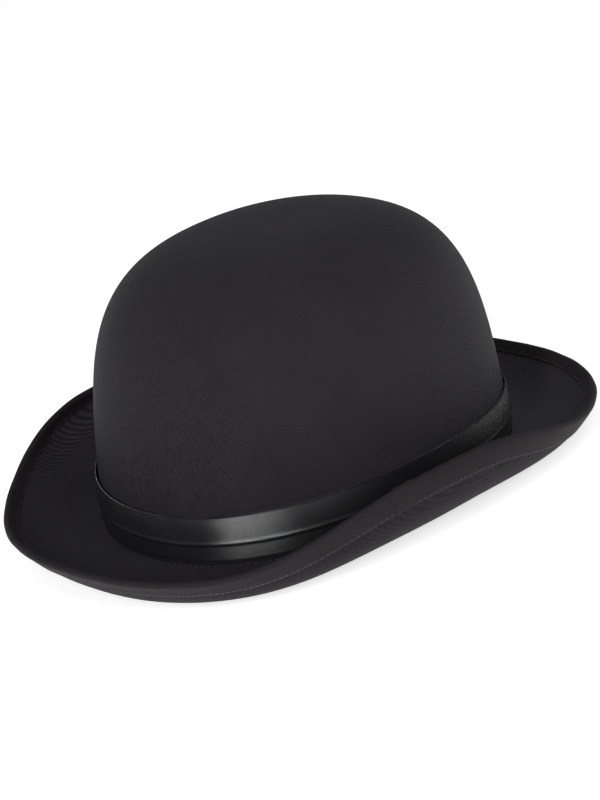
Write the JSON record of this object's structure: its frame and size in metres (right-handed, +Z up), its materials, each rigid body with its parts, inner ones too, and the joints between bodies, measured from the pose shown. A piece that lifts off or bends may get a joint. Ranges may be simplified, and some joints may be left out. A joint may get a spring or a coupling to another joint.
{
  "type": "bowler hat",
  "caption": "Stiff bowler hat with an oval domed crown, a brim rolled up at the sides, a satin band with a flat side bow, a sweatband and a lining.",
  "frame": {"origin": "on the surface the hat stands on, under the middle of the brim", "axes": "+X to the front of the hat, +Y to the wearer's left, +Z up through the crown"},
  "size_m": [0.3066, 0.2346, 0.1311],
  "materials": {
    "satin_cover": "matt black satin cloth with a faint purple cast, laminated to the core",
    "satin_under": "matt black satin cloth, slightly lighter and warmer in the light",
    "binding": "black satin tape folded over the rim",
    "ribbon": "glossy black satin ribbon",
    "stiff_core": "stiffened felt",
    "sweatband": "black woven sweatband tape",
    "lining": "thin black satin lining",
    "label": "blank woven label",
    "wire": "drawn spring wire"
  },
  "bodies": {
    "root": {"crown_cover": "satin_cover", "crown_shell": "stiff_core", "lining_side": "lining", "lining_tip": "lining", "sweatband": "sweatband", "sweatband_reed": "sweatband", "sweatband_join": "sweatband", "size_label": "label", "brim_board": "stiff_core", "brim_top_cover": "satin_cover", "brim_under_cover": "satin_under", "brim_binding": "binding", "brim_wire": "wire", "hat_band": "ribbon", "band_bow_loop_front": "ribbon", "band_bow_loop_back": "ribbon", "band_bow_tail_front": "ribbon", "band_bow_tail_back": "ribbon", "band_bow_knot": "ribbon"}
  },
  "joints": []
}
